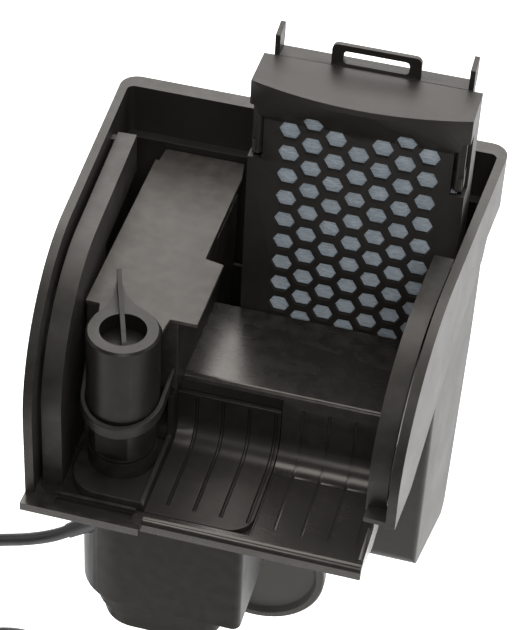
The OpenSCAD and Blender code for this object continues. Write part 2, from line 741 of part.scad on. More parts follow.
module motor_block() {
    color("#7a5a3a") difference() {
        translate([0, 0, motor_z0]) linear_extrude(motor_z1 - motor_z0)
            polygon(round_rect(axis_x - 21, axis_x + 22, axis_y - 22, axis_y + 24, 6));
        translate([axis_x, axis_y, motor_z0 - 1]) cylinder(r = well_r, h = well_top_z - motor_z0 + 1);
        translate([axis_x, axis_y, motor_z0]) cylinder(r = 4, h = well_top_z - motor_z0 + 3.1);
    }
}

module on_axis(z) {
    translate([axis_x, axis_y, z]) children();
}

module rotor_magnet() {
    color("#404040") on_axis(motor_z0 - 2) difference() {
        cylinder(r = rotor_r, h = well_top_z - motor_z0);
        translate([0, 0, -1]) cylinder(r = shaft_r + run_gap, h = 80);
    }
}

module impeller_wheel() {
    z0 = pump_in_z + 3;
    h = motor_z0 - 2 - z0;
    color("#d8d8d4") on_axis(z0) difference() {
        union() {
            cylinder(r = 4, h = h);
            translate([0, 0, h - 2]) cylinder(r = impeller_r, h = 2);
            for (i = [0:5]) rotate([0, 0, i * 60]) translate([3, -0.8, 0]) cube([impeller_r - 3.5, 1.6, h - 1]);
        }
        translate([0, 0, -1]) cylinder(r = shaft_r + run_gap, h = 80);
    }
}

module pump_shaft() {
    color("#e8e6e0") on_axis(shaft_z0) cylinder(r = shaft_r, h = shaft_z1 - shaft_z0);
}

module upper_bush() {
    color("#1c1c1c") on_axis(well_top_z) difference() {
        cylinder(r = 4, h = 3);
        translate([0, 0, -1]) cylinder(r = shaft_r, h = 3);
    }
}

module lower_bush() {
    color("#1c1c1c") on_axis(shaft_z0 - 1) difference() {
        cylinder(r = 3.2, h = 3);
        translate([0, 0, 1]) cylinder(r = shaft_r, h = 6);
    }
}

module volute_cover() {
    eye_r = 9;
    color("#2b2927") difference() {
        union() {
            difference() {
                translate([0, 0, pump_in_z - cover_base_t]) linear_extrude(cover_base_t) pump_plan(pump_t + 0.1);
                on_axis(pump_in_z - cover_base_t - 1) cylinder(r = eye_r, h = 5);
            }
            // spider that holds the lower bush
            on_axis(pump_in_z - cover_base_t) cylinder(r = 5, h = cover_base_t);
            for (i = [0:2]) on_axis(pump_in_z - cover_base_t + 0.5) rotate([0, 0, i * 120 + 30])
                translate([4, -1, 0]) cube([eye_r - 2, 2, cover_base_t - 1]);
            // volute wall round the impeller, open towards the spigot
            on_axis(pump_in_z - 0.5) difference() {
                cylinder(r = impeller_r + 5, h = motor_z0 - pump_in_z);
                translate([0, 0, -1]) cylinder(r = impeller_r + 2.5, h = 30);
                translate([-30, -6, 2]) cube([30, 12, 9]);
            }
        }
        on_axis(pump_in_z - cover_base_t - 1) cylinder(r = 3.2, h = 6);
        for (p = screw_places) translate([p[0], p[1], pump_in_z - cover_base_t - 1]) {
            cylinder(r = 1.65, h = 8);
            cylinder(r = 2.9, h = 2.7);
        }
    }
}

module cover_screws() {
    color("#b0b0b0") for (p = screw_places) translate([p[0], p[1], pump_in_z - cover_base_t]) {
        cylinder(r = 2.8, h = 1.6);
        translate([0, 0, 1.6 - EPS]) cylinder(r = 1.6, h = 10);
    }
}

// Outline of the strainer, d in from its outside
module strainer_plan(d) {
    x0 = pump_x0 + 7;
    x1 = pump_x1 - 12;
    y0 = pump_y0 + 4;
    y1 = pump_y1 - 16;
    polygon(concat(arc(x1 - 8, y1 - 8, 8 - d, 0, 90), arc(x0 + 8, y1 - 8, 8 - d, 90, 180),
                   arc(x0 + 22, y0 + 22, 22 - d, 180, 270, 12), arc(x1 - 8, y0 + 8, 8 - d, 270, 360)));
}

module intake_strainer() {
    color("#343230") difference() {
        union() {
            translate([0, 0, strainer_z1 - 13]) linear_extrude(13) strainer_plan(0);
            translate([0, 0, strainer_z0]) linear_extrude(strainer_h - 12) strainer_plan(3.5);
        }
        translate([0, 0, strainer_z0 + 2.5]) linear_extrude(strainer_h) strainer_plan(6);
        // intake slots through the floor
        for (i = [0:8]) translate([pump_x0 + 20 + i * 5.4, pump_y0 + 14, strainer_z0 - 1]) cube([2.2, 34, 5]);
        // and through the back of the lower band
        for (i = [0:8]) translate([pump_x0 + 18 + i * 5, pump_y0 + 30, strainer_z0 + 3]) cube([2, 40, 7.5]);
    }
}

module prefilter_foam() {
    color("#3f4a55") translate([0, 0, strainer_z0 + 3]) linear_extrude(strainer_h - 6) strainer_plan(6.5);
}

// ---------- cartridge ----------

// Centre heights of the hexagons in column c, from the top row down
function hex_first(c) = [0, -0.5, 0, 0.5, 0, -0.5, 0][c];

module hex_holes(y0, y1) {
    translate([0, y1, 0]) rotate([90, 0, 0]) linear_extrude(y1 - y0)
        for (c = [0:6]) for (r = [0:hex_rows - 1])
            translate([cart_mid_x + 0.7 + (c - 3) * hex_col, grid_z - (hex_first(c) + r) * hex_pitch])
                circle(r = hex_af / 2 / cos(30), $fn = 6);
}

module latch_pocket(side) {
    x = (side > 0) ? cart_x1 - latch_w : cart_x0 - 1;
    translate([x, cart_y - 1, latch_z]) cube([latch_w + 1, 9, latch_h]);
}

module cartridge_front() {
    color("#3b3835") difference() {
        union() {
            translate([cart_x0, cart_y, cart_bottom_z]) cube([cart_w, cart_front_d - 0.8, cart_h]);
            // cap that bows forward at its top edge
            hull() {
                translate([0, 0, cart_top_z - 3]) linear_extrude(3) polygon(concat(
                    [for (i = [0:16]) let (t = i / 8 - 1)
                        [cart_mid_x + t * cart_w / 2, cart_y - cap_bow * (1 - t * t)]],
                    [[cart_x1, cart_y + 6], [cart_x0, cart_y + 6]]));
                translate([cart_x0, cart_y, cart_top_z - cap_h]) cube([cart_w, 6, 1]);
            }
        }
        translate([cart_x0 + shell_t, cart_y + shell_t, cart_bottom_z + shell_t])
            cube([cart_w - 2 * shell_t, cart_front_d - 2 * shell_t - 0.8, cart_h - 2 * shell_t - 1]);
        // rear opening that the back shell's tongue fills
        translate([cart_x0 + tongue_in, cart_y + 10, cart_bottom_z + shell_t - 0.1])
            cube([cart_w - 2 * tongue_in, cart_front_d, cart_h - 2 * shell_t - 0.8]);
        hex_holes(cart_y - 12, cart_y + shell_t + 1);
        latch_pocket(1);
        latch_pocket(-1);
    }
    // floors of the latch pockets
    color("#3b3835") for (x = [cart_x0 + latch_w, cart_x1 - latch_w - 1.5])
        translate([x, cart_y + shell_t - EPS, latch_z - 1.5]) cube([1.5, 7, latch_h + 3]);
    color("#3b3835") for (x = [cart_x0 + shell_t - EPS, cart_x1 - latch_w - 1.5])
        translate([x, cart_y + 8, latch_z - 1.5]) cube([latch_w - shell_t + 1.5, 1.5, latch_h + 3]);
}

module cartridge_back() {
    y0 = cart_back_y;
    y1 = y0 + cart_back_d;
    x0 = cart_x0 + back_inset;
    x1 = cart_x1 - back_inset;
    loop_w = 42;
    color("#403e3b") {
        difference() {
            translate([x0, y0, cart_bottom_z]) cube([x1 - x0, cart_back_d, cart_h - 0.5]);
            translate([x0 + 2, y0 - 1, cart_bottom_z + shell_t])
                cube([x1 - x0 - 4, cart_back_d - 1, cart_h - 5]);
            hex_holes(y1 - 4, y1 + 1);
        }
        // tongue that fits the front shell's rear opening
        difference() {
            translate([cart_x0 + tongue_in, y0 - 2.6, cart_bottom_z + shell_t - 0.1])
                cube([cart_w - 2 * tongue_in, 4, cart_h - 2 * shell_t - 0.8]);
            translate([cart_x0 + tongue_in + 1.5, y0 - 3, cart_bottom_z + shell_t + 1.4])
                cube([cart_w - 2 * tongue_in - 3, 6, cart_h - 2 * shell_t - 3.8]);
        }
        // finger loop
        difference() {
            translate([cart_mid_x - loop_w / 2 + 1, y0 + 0.5, cart_top_z - 1]) rotate([90, 0, 0])
                translate([0, 0, -2.5]) linear_extrude(2.5)
                    polygon(concat([[0, 0]], [[loop_w, 0]], arc(loop_w - 3, loop_h - 2, 3, 0, 90, 4),
                                   arc(3, loop_h - 2, 3, 90, 180, 4)));
            translate([cart_mid_x - loop_w / 2 + 1, y0 - 1, cart_top_z - 1]) rotate([90, 0, 0])
                translate([0, 0, -6]) linear_extrude(6)
                    polygon(round_rect(5.5, loop_w - 5.5, 2.2, loop_h - 2.2, 2, 4));
        }
        // upright ears that steer the cartridge under the lid
        for (x = [x0 - 0.3, x1 - 2.1])
            across(x, x + 2.4) polygon([[y0 + 0.3, cart_top_z - 2], [y0 + 0.3, cart_top_z + 10],
                [y1 + 0.8, cart_top_z + 12], [y1 + 1.6, cart_top_z + 11], [y1 + 1.6, cart_top_z + 3],
                [y1 - 1, cart_top_z - 2]]);
    }
}

module filter_pad() {
    color("#96a5b4") translate([cart_x0 + 4, cart_y + shell_t + 0.4, cart_bottom_z + 4])
        difference() {
            cube([cart_w - 8, 10, cart_h - 10]);
            for (x = [-1, cart_w - 8 - 6]) translate([x, -1, latch_z - cart_bottom_z - 4 - 3]) cube([7, 12, latch_h + 6]);
        }
}

module carbon_insert() {
    color("#1a1a1a") translate([cart_x0 + tongue_in + 2, cart_y + shell_t + 11, cart_bottom_z + 5])
        cube([cart_w - 2 * tongue_in - 4, cart_front_d + cart_back_d - shell_t - 15, cart_h - 14]);
}

module latch(s) {
    x = (s > 0) ? cart_x1 - 4 : cart_x0 + 4;
    color("#55524e") translate([x, latch_y, latch_z + 1.5]) mirror([s < 0 ? 1 : 0, 0, 0]) difference() {
        union() {
            cylinder(r = 2.3, h = latch_h - 3);
            translate([-1, -2.3, 0]) cube([3.4, 1.6, latch_h - 3]);
            translate([1.2, -2.3, 2]) cube([1.4, 5.5, 9]);
            translate([0.5, -3.6, 2]) cube([1.6, 1.6, 6]);
        }
        translate([0, 0, -1]) cylinder(r = latch_pin_r + run_gap, h = latch_h);
    }
}

module left_latch() { latch(-1); }
module right_latch() { latch(1); }

module latch_pin(s) {
    x = (s > 0) ? cart_x1 - 4 : cart_x0 + 4;
    color("#8a8a88") translate([x, latch_y, latch_z]) cylinder(r = latch_pin_r, h = latch_h);
}

module left_latch_pin() { latch_pin(-1); }
module right_latch_pin() { latch_pin(1); }

// ---------- cord ----------

// Direction of the route at point i
function route_dir(p, i) = let (a = p[max(i - 1, 0)], b = p[min(i + 1, len(p) - 1)]) (b - a) / norm(b - a);

// The ring of points round the route at point i, square to it
function ring(p, i, r, n) =
    let (t = route_dir(p, i), q = [0, 1, 0] - t[1] * t, u = q / norm(q), v = cross(t, u))
    [for (k = [0:n - 1]) p[i] + r * cos(360 * k / n) * u + r * sin(360 * k / n) * v];

module sweep(p, r, n) {
    m = len(p);
    points = [for (i = [0:m - 1]) each ring(p, i, r, n)];
    sides = [for (i = [0:m - 2]) for (k = [0:n - 1]) let (a = i * n + k, b = i * n + (k + 1) % n)
        [a, a + n, b + n, b]];
    polyhedron(points, concat([[for (k = [0:n - 1]) k]], sides, [[for (k = [n - 1:-1:0]) (m - 1) * n + k]]));
}

module cord_gland() {
    color("#1e1e1e") gland_at(0) difference() {
        union() {
            translate([0, 0, -5]) cylinder(r = 4.58, h = 12);
            translate([0, 0, -5]) cylinder(r = 5.1, h = 2);
            translate([0, 0, 6]) cylinder(r1 = 4.58, r2 = cord_d / 2 + 0.6, h = gland_len - 6);
        }
        translate([0, 0, -7]) cylinder(r = cord_d / 2, h = gland_len + 20);
    }
}

module power_cord() {
    color("#161616") sweep(cord_route, cord_d / 2, 12);
}

module cord_coil() {
    color("#161616") translate([coil_x, coil_y, coil_z]) rotate([90, 0, 0]) rotate_extrude($fn = 64)
        translate([coil_r, 0]) polygon(round_rect(-bundle / 2, bundle / 2, -bundle / 2, bundle / 2, 4, 4));
}

module cord_tie() {
    color("#303030") translate([coil_x, coil_y, coil_z]) difference() {
        translate([coil_r - bundle / 2 - 1.2, -bundle / 2 - 1.2, -4]) cube([bundle + 2.4, bundle + 2.4, 8]);
        rotate([90, 0, 0]) rotate_extrude($fn = 64) translate([coil_r, 0]) square(bundle + 0.1, center = true);
    }
}

plug_z = coil_z - coil_r - bundle / 2 - 11;
module plug_body() {
    color("#161616") translate([coil_x + 12, coil_y, plug_z]) rotate([0, 90, 0]) {
        linear_extrude(28) polygon(round_rect(-9, 9, -13, 13, 5, 5));
        translate([0, 0, -14]) cylinder(r1 = 4.2, r2 = 7.5, h = 14.5);
    }
}

module plug_blades() {
    color("#c8c4b0") for (y = [-6.35, 6.35]) translate([coil_x + 12 + 28, coil_y + y - 0.75, plug_z - 3.15])
        cube([17, 1.5, 6.3]);
}

// ---------- assembly ----------

reservoir_box();
upper_tub();
spillway_tray();
partition_wall();
duct_channel();
duct_cover();
rim_pads();
foot_socket();
levelling_disc();
levelling_stem();
carrier_insert();
riser_tube();
riser_guard();
riser_seal();
flow_regulator();
pump_housing();
outlet_spigot();
motor_block();
rotor_magnet();
impeller_wheel();
pump_shaft();
upper_bush();
lower_bush();
volute_cover();
cover_screws();
intake_strainer();
prefilter_foam();
cartridge_front();
cartridge_back();
filter_pad();
carbon_insert();
left_latch();
right_latch();
left_latch_pin();
right_latch_pin();
cord_gland();
power_cord();
cord_coil();
cord_tie();
plug_body();
plug_blades();
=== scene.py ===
"""Looks of a hang-on-back aquarium power filter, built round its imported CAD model."""
import json
import math

import bmesh
import bpy
from mathutils import Matrix, Vector, noise

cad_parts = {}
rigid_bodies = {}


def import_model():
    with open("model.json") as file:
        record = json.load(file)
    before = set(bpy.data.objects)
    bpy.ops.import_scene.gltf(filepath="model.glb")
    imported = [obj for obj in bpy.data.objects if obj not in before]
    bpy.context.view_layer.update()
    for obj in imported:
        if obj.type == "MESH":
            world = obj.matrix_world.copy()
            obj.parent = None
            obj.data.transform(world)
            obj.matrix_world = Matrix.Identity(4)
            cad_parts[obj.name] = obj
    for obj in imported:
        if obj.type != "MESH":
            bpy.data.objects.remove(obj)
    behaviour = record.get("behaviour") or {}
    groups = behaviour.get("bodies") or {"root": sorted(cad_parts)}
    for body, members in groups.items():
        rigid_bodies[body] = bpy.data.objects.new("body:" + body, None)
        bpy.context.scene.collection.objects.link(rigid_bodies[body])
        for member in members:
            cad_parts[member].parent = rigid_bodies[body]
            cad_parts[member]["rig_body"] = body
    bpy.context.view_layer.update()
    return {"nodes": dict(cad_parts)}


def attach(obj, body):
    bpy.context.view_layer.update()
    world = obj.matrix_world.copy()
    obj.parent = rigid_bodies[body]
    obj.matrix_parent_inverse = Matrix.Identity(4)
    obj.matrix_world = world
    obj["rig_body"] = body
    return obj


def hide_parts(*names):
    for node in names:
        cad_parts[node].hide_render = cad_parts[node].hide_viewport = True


MM = 0.001
# edges sharper than this are rounded, and shaded as edges
SHARP_FROM = math.radians(28.0)

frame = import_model()
bodies = {n: o["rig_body"] for n, o in frame["nodes"].items()}
scene = bpy.context.scene


# ---------------------------------------------------------------- camera
def add_camera():
    """A view 41 degrees down, from the front and a little to the right."""
    at = Vector((176.1, -769.5, 731.1))
    right = Vector((0.965804, 0.255681, 0.043006))
    down = Vector((0.199342, -0.626208, -0.753742))
    ahead = Vector((-0.165787, 0.736540, -0.655762))
    cam = bpy.data.objects.new("camera", bpy.data.cameras.new("camera"))
    turn = Matrix((right, -down, -ahead)).transposed().to_4x4()
    cam.matrix_world = Matrix.Translation(at * MM) @ turn
    cam.data.sensor_fit = "VERTICAL"
    cam.data.sensor_height = 36.0
    cam.data.lens = 126.5
    scene.collection.objects.link(cam)
    scene.camera = cam


add_camera()


# ---------------------------------------------------------------- materials
class Mat:
    """A node material with short names for what this scene uses."""

    def __init__(self, name):
        self.m = bpy.data.materials.new(name)
        self.m.use_nodes = True
        self.nt = self.m.node_tree
        self.bsdf = self.nt.nodes["Principled BSDF"]
        self.coord = self.nt.nodes.new("ShaderNodeTexCoord").outputs["Object"]

    def node(self, kind, **values):
        n = self.nt.nodes.new(kind)
        for key, value in values.items():
            if key in n.inputs:
                self.put(n.inputs[key], value)
            else:
                setattr(n, key, value)
        return n

    def put(self, socket, value):
        if isinstance(value, bpy.types.NodeSocket):
            self.nt.links.new(value, socket)
        else:
            socket.default_value = value

    def set(self, **values):
        for key, value in values.items():
            self.put(self.bsdf.inputs[key.replace("_", " ")], value)

    def noise(self, scale, detail=2.0, rough=0.5, vector=None):
        return self.node("ShaderNodeTexNoise", Vector=vector or self.coord, Scale=scale,
                         Detail=detail, Roughness=rough).outputs["Fac"]

    def stretch(self, sx, sy, sz):
        n = self.node("ShaderNodeMapping", Vector=self.coord)
        n.inputs["Scale"].default_value = (sx, sy, sz)
        return n.outputs["Vector"]

    def ramp(self, fac, stops):
        n = self.node("ShaderNodeValToRGB", Fac=fac)
        while len(n.color_ramp.elements) < len(stops):
            n.color_ramp.elements.new(0.5)
        for e, (at, colour) in zip(n.color_ramp.elements, stops):
            e.position = at
            e.color = (*colour, 1.0) if len(colour) == 3 else colour
        return n.outputs["Color"]

    def span(self, fac, low, high, a=0.0, b=1.0):
        return self.node("ShaderNodeMapRange", Value=fac, **{
            "From Min": a, "From Max": b, "To Min": low, "To Max": high}).outputs["Result"]

    def math(self, how, a, b=0.5):
        n = self.node("ShaderNodeMath", operation=how)
        self.put(n.inputs[0], a)
        self.put(n.inputs[1], b)
        return n.outputs[0]

    def mix(self, fac, a, b):
        n = self.node("ShaderNodeMix", data_type="RGBA")
        self.put(n.inputs["Factor"], fac)
        for socket, value in ((n.inputs[6], a), (n.inputs[7], b)):
            if not isinstance(value, bpy.types.NodeSocket):
                value = (*value, 1.0)
            self.put(socket, value)
        return n.outputs[2]

    def bump(self, height, distance, strength=1.0, normal=None):
        n = self.node("ShaderNodeBump", Height=height, Distance=distance, Strength=strength)
        if normal is not None:
            self.put(n.inputs["Normal"], normal)
        return n.outputs["Normal"]


def plastic(name, colour, rough, grain=0.5, scuff=0.5, warm=0.0, spec=0.28):
    """Moulded plastic: fine spark-eroded grain, slow sheen changes, convex edges painted lighter as a painted
    edge highlight, hairline scuffs.
    """
    m = Mat(name)
    cloud = m.noise(22.0, 3.0)
    tint = [c * 1.35 + 0.004 for c in colour]
    base = m.mix(m.span(cloud, 0.25, 0.65, 0.3, 0.7), colour, tint)
    # painted edge highlight: convex edges, found by pointiness and broken into patches by noise, are mixed
    # towards a lighter colour
    convexity = m.node("ShaderNodeNewGeometry").outputs["Pointiness"]
    edge_highlight = m.math("MULTIPLY", m.span(convexity, 0.0, 1.0, 0.515, 0.56), m.span(m.noise(160.0), 0.0, 1.0, 0.35, 0.7))
    light = [c * 2.2 + 0.02 + warm * 0.02 for c in colour]
    base = m.mix(m.math("MULTIPLY", edge_highlight, 0.45), base, light)
    hair = m.noise(55.0, 6.0, 0.75, m.stretch(1.0, 9.0, 2.0))
    scratch = m.math("MULTIPLY", m.span(hair, 0.0, 1.0, 0.60, 0.70), scuff)
    base = m.mix(m.math("MULTIPLY", scratch, 0.10), base, [c + 0.05 for c in colour])
    sheen = m.span(m.noise(35.0, 4.0, 0.6), rough - 0.02, rough + 0.04, 0.3, 0.7)
    sheen = m.math("ADD", sheen, m.math("MULTIPLY", scratch, 0.10))
    fine = m.noise(2600.0, 2.0, 0.6)
    broad = m.noise(18.0, 2.0)
    normal = m.bump(broad, 0.0006, 0.12)
    normal = m.bump(fine, 0.00006, grain, normal)
    m.set(Base_Color=base, Roughness=sheen, Normal=normal, Specular_IOR_Level=spec)
    m.bsdf.inputs["Specular Tint"].default_value = (1.0, 0.94, 0.87, 1.0)
    return m.m


def rubber(name, colour, rough=0.75):
    m = Mat(name)
    base = m.mix(m.span(m.noise(90.0, 4.0), 0.0, 1.0, 0.3, 0.7), colour, [c * 1.6 + 0.006 for c in colour])
    m.set(Base_Color=base, Roughness=m.span(m.noise(300.0), rough - 0.08, rough + 0.08),
          Normal=m.bump(m.noise(1400.0, 3.0), 0.0001, 0.5))
    return m.m


def metal(name, colour, rough=0.3, brushed=True):
    m = Mat(name)
    lines = m.noise(900.0, 2.0, 0.5, m.stretch(1.0, 1.0, 0.05) if brushed else None)
    m.set(Base_Color=m.mix(m.noise(60.0), colour, [c * 0.8 for c in colour]), Metallic=1.0,
          Roughness=m.span(lines, rough - 0.07, rough + 0.12), Normal=m.bump(lines, 0.00004, 0.4))
    return m.m


def ceramic(name):
    m = Mat(name)
    m.set(Base_Color=m.mix(m.noise(200.0), (0.80, 0.78, 0.72), (0.68, 0.66, 0.60)), Roughness=0.35,
          Normal=m.bump(m.noise(1500.0), 0.00003, 0.3))
    return m.m


def floss_material(name):
    """Matted polyester fibre: many thin pale strands over a darker blue-grey mat."""
    m = Mat(name)
    strands = None
    for turn, scale in ((0.35, 210.0), (-0.6, 260.0), (1.2, 180.0)):
        spin = m.node("ShaderNodeMapping", Vector=m.coord)
        spin.inputs["Rotation"].default_value = (0.0, turn, 0.0)
        spin.inputs["Scale"].default_value = (1.0, 1.0, 9.0)
        band = m.noise(scale, 4.0, 0.7, spin.outputs["Vector"])
        strands = band if strands is None else m.math("MAXIMUM", strands, band)
    mat_shade = m.ramp(m.span(strands, 0.0, 1.0, 0.45, 0.8),
                       [(0.0, (0.30, 0.37, 0.43)), (0.45, (0.62, 0.70, 0.77)), (1.0, (0.90, 0.93, 0.96))])
    dirt = m.span(m.noise(60.0, 3.0), 0.85, 1.0, 0.3, 0.65)
    shade = m.node("ShaderNodeHueSaturation", Color=mat_shade, Value=dirt).outputs["Color"]
    m.set(Base_Color=shade, Roughness=0.85, Sheen_Weight=0.35, Sheen_Roughness=0.5,
          Normal=m.bump(strands, 0.0009, 0.9), Specular_IOR_Level=0.25)
    m.bsdf.inputs["Subsurface Weight"].default_value = 0.08
    m.bsdf.inputs["Subsurface Radius"].default_value = (0.002, 0.002, 0.002)
    return m.m


def foam_material(name):
    """Open-cell foam: small dark pores between pale walls."""
    m = Mat(name)
    cells = m.node("ShaderNodeTexVoronoi", Vector=m.coord, Scale=650.0, feature="DISTANCE_TO_EDGE")
    pores = m.span(cells.outputs["Distance"], 0.0, 1.0, 0.0, 0.22)
    m.set(Base_Color=m.ramp(pores, [(0.0, (0.055, 0.06, 0.065)), (1.0, (0.008, 0.009, 0.01))]), Roughness=0.9,
          Normal=m.bump(pores, -0.0008, 1.0))
    return m.m


def carbon_material(name):
    m = Mat(name)
    grains = m.node("ShaderNodeTexVoronoi", Vector=m.coord, Scale=420.0)
    m.set(Base_Color=m.mix(grains.outputs["Color"], (0.012, 0.012, 0.013), (0.05, 0.05, 0.052)), Roughness=0.55,
          Normal=m.bump(grains.outputs["Distance"], -0.001, 1.0))
    return m.m


def magnet_material(name):
    m = Mat(name)
    m.set(Base_Color=m.mix(m.noise(120.0, 4.0), (0.03, 0.03, 0.033), (0.06, 0.06, 0.065)), Roughness=0.5,
          Metallic=0.4, Normal=m.bump(m.noise(900.0, 3.0), 0.00008, 0.6))
    return m.m


CASE = plastic("case_plastic", (0.012, 0.0108, 0.0095), 0.46, 0.35)
TUB = plastic("tub_plastic", (0.012, 0.0108, 0.0095), 0.44, 0.35, spec=0.34)
TRAY = plastic("spillway_plastic", (0.013, 0.0115, 0.010), 0.24, 0.3, spec=0.52)
CARRIER = plastic("carrier_plastic", (0.012, 0.0105, 0.009), 0.36, 0.4)
DUCT = plastic("duct_plastic", (0.011, 0.0098, 0.0085), 0.42, 0.5)
COVER = plastic("cover_plastic", (0.02, 0.0178, 0.0152), 0.45, 0.6, warm=0.4, spec=0.34)
TUBE = plastic("riser_plastic", (0.008, 0.0072, 0.0063), 0.42, 0.4, spec=0.2)
KNOB = plastic("regulator_plastic", (0.008, 0.0072, 0.0063), 0.38, 0.4, spec=0.22)
PUMP = plastic("pump_plastic", (0.006, 0.0054, 0.0048), 0.38, 0.4, spec=0.13)
CART = plastic("cartridge_plastic", (0.013, 0.0115, 0.01), 0.44, 0.6, scuff=0.8)
LATCH = plastic("latch_plastic", (0.018, 0.016, 0.014), 0.38, 0.4)
DISC = plastic("disc_plastic", (0.035, 0.034, 0.031), 0.42, 0.6, scuff=1.0)
RUBBER = rubber("rubber", (0.012, 0.012, 0.012))
CORD = rubber("cord_sheath", (0.013, 0.013, 0.0135), 0.42)
STEEL = metal("steel", (0.62, 0.62, 0.60), 0.25)
BLADE = metal("nickel", (0.70, 0.69, 0.66), 0.22, False)
CERAMIC = ceramic("ceramic")
MAGNET = magnet_material("magnet")
FLOSS = floss_material("floss")
FOAM = foam_material("foam")
CARBON = carbon_material("carbon")


# ---------------------------------------------------------------- mesh helpers
def link(obj, body, *replaced, slot=None):
    if obj.name not in scene.collection.objects:
        scene.collection.objects.link(obj)
    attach(obj, body)
    if replaced:
        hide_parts(*replaced)
    return obj


def softened(node, material, radius, segments=2, join=True):
    """A copy of a CAD node's mesh with its hard edges rounded as a moulding's are; radius in millimetres."""
    src = frame["nodes"][node]
    bm = bmesh.new()
    bm.from_mesh(src.data)
    bmesh.ops.remove_doubles(bm, verts=bm.verts, dist=0.00001)
    if join:
        bmesh.ops.dissolve_limit(bm, angle_limit=math.radians(1.0), verts=bm.verts, edges=bm.edges)
    mesh = bpy.data.meshes.new(node + "_skin")
    bm.to_mesh(mesh)
    bm.free()
    mesh.materials.clear()
    mesh.materials.append(material)
    for p in mesh.polygons:
        p.use_smooth = True
        p.material_index = 0
    mesh.set_sharp_from_angle(angle=SHARP_FROM)
    obj = bpy.data.objects.new(node + "_skin", mesh)
    scene.collection.objects.link(obj)
    bevel = obj.modifiers.new("round", "BEVEL")
    bevel.width = radius * MM
    bevel.segments = segments
    bevel.limit_method = "ANGLE"
    bevel.angle_limit = SHARP_FROM
    bevel.use_clamp_overlap = True
    bevel.harden_normals = True
    bevel.miter_outer = "MITER_ARC"
    return link(obj, bodies[node], node)


def plain(node, material):
    """A CAD node that keeps its mesh and gets its material."""
    src = frame["nodes"][node]
    src.data.materials.clear()
    src.data.materials.append(material)
    for p in src.data.polygons:
        p.material_index = 0


def soft_block(node, name, material, voxel, rough, seed):
    """A fibre or foam block inside its CAD solid: remeshed, rounded, with an uneven surface."""
    src = frame["nodes"][node]
    work = bpy.data.objects.new(name + "_work", src.data.copy())
    work.matrix_world = src.matrix_world
    scene.collection.objects.link(work)
    remesh = work.modifiers.new("even", "REMESH")
    remesh.mode = "VOXEL"
    remesh.voxel_size = voxel * MM
    bpy.context.view_layer.update()
    mesh = bpy.data.meshes.new_from_object(work.evaluated_get(bpy.context.evaluated_depsgraph_get()))
    bpy.data.objects.remove(work)
    mesh.name = name
    shift = Vector((seed, 0, 0))
    for v in mesh.vertices:
        p = v.co
        wave = noise.noise(p * 60.0 + shift) * 0.6 + noise.noise(p * 220.0 + shift) * 0.4
        pull = rough * MM * (0.55 + 0.45 * wave)
        v.co = p - v.normal * pull
    mesh.materials.clear()
    mesh.materials.append(material)
    for p in mesh.polygons:
        p.use_smooth = True
        p.material_index = 0
    obj = bpy.data.objects.new(name, mesh)
    link(obj, bodies[node], node)
    return obj


# ---------------------------------------------------------------- cord
CORD_D = 6.3
CORD_LENGTH = 1.8
COIL_R = 35.0
COIL_AT = Vector((-101.0, -60.0, -200.0))
PLUG_AT = Vector((-103.0, -60.0, -255.5))
ROUTE = [(-72, -66, -58), (-79, -66, -63.2), (-87, -66, -67.8), (-97, -66, -72.2), (-108, -65.5, -76.5),
         (-117.5, -64.5, -81.5), (-126, -63, -88.5), (-133, -61.5, -97.5), (-138, -60.5, -109),
         (-141, -60, -122), (-142.2, -60, -136), (-142.3, -60, -150), (-142.3, -60, -163),
         (-142.3, -60, -176), (-142.3, -60, -188)]
# seats of the turns in the bundle, seen end on, in cord diameters: (outwards, sideways)
SEATS = [(1, 0), (1, -1), (0, -1), (-1, -1), (-1, 0), (0, 0), (0, 1), (1, 1)]
TURNS = 7
PER_TURN = 60
TAIL_R = 39.3


def smooth(t):
    t = min(max(t, 0.0), 1.0)
    return t * t * (3 - 2 * t)


def spline_points(points, step):
    """Catmull-Rom points about one step apart."""
    pts = [Vector(p) for p in points]
    pts = [pts[0] * 2 - pts[1]] + pts + [pts[-1] * 2 - pts[-2]]
    out = []
    for a, b, c, d in zip(pts, pts[1:], pts[2:], pts[3:]):
        n = max(1, round((c - b).length / step))
        for i in range(n):
            t = i / n
            out.append(0.5 * ((2 * b) + (c - a) * t + (2 * a - 5 * b + 4 * c - d) * t * t
                              + (3 * b - a - 3 * c + d) * t ** 3))
    out.append(pts[-2])
    return out


def cord_line(coil_r):
    """The free stretch, then turns that lie beside and on each other, then the end that runs to the plug."""
    pts = spline_points(ROUTE, 3.0)
    for k in range(PER_TURN * TURNS):
        out = side = 0.0
        for j, (a, b) in enumerate(zip(SEATS, SEATS[1:])):
            # each turn steps over to its next seat a little earlier than the turn before it
            t = smooth((k / PER_TURN - j - 0.66 + 0.09 * j) / 0.30)
            out += (b[0] - a[0]) * t
            side += (b[1] - a[1]) * t
        ang = math.pi + 2 * math.pi * k / PER_TURN
        r = coil_r + CORD_D * (SEATS[0][0] + out)
        pts.append(COIL_AT + Vector((r * math.cos(ang), CORD_D * (SEATS[0][1] + side), r * math.sin(ang))))
    # straight down beside the coil, then a quarter circle into the plug's sleeve
    start = COIL_AT + Vector((-coil_r - CORD_D, CORD_D * SEATS[-1][1], 0.0))
    turn_z = PLUG_AT.z + TAIL_R
    for k in range(6):
        pts.append(start + Vector((0, 0, (turn_z - start.z) * k / 6)))
    for k in range(25):
        a = math.pi / 2 * k / 24
        x = PLUG_AT.x - TAIL_R * math.cos(a)
        pts.append(Vector((min(x, PLUG_AT.x), start.y + (PLUG_AT.y - start.y) * smooth(k / 22),
                           turn_z - TAIL_R * math.sin(a))))
    pts.append(PLUG_AT + Vector((6.0, 0, 0)))
    return pts


def length_of(pts):
    return sum((b - a).length for a, b in zip(pts, pts[1:]))


